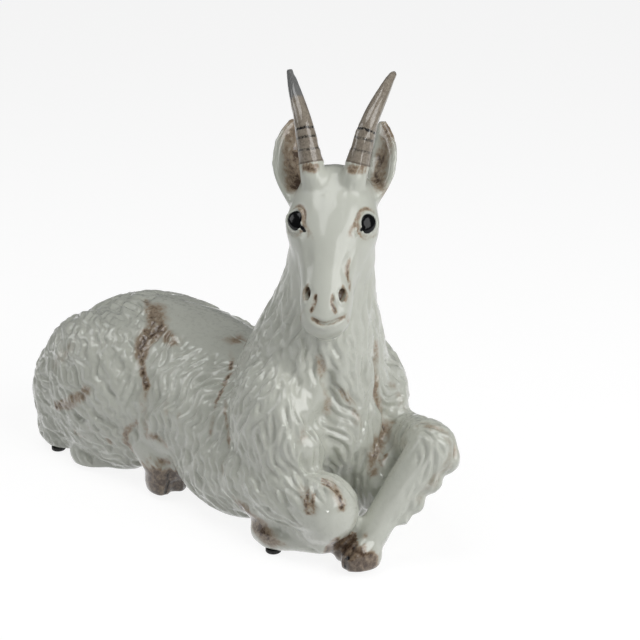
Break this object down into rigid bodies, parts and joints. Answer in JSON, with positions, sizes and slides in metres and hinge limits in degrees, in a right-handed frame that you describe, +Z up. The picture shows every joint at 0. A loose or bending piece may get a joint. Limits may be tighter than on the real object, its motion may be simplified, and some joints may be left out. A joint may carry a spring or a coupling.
{
  "type": "goat figurine",
  "caption": "Glazed ceramic figurine of a goat lying down with its head turned to the side, resting on small rubber bumper pads.",
  "frame": {"origin": "middle of the bounding box, at the level the pads stand on", "axes": "+X from rump to chest, +Y to the goat's left side, +Z up; the face is turned towards -Y and +X"},
  "size_m": [0.4492, 0.181, 0.3659],
  "materials": {
    "glaze": "gloss white glaze over a brown wash in the carving",
    "bumper_rubber": "matt black"
  },
  "bodies": {
    "root": {"goat": "glaze", "pad_rear_right": "bumper_rubber", "pad_rear_left": "bumper_rubber", "pad_front_right": "bumper_rubber", "pad_front_left": "bumper_rubber"}
  },
  "joints": []
}
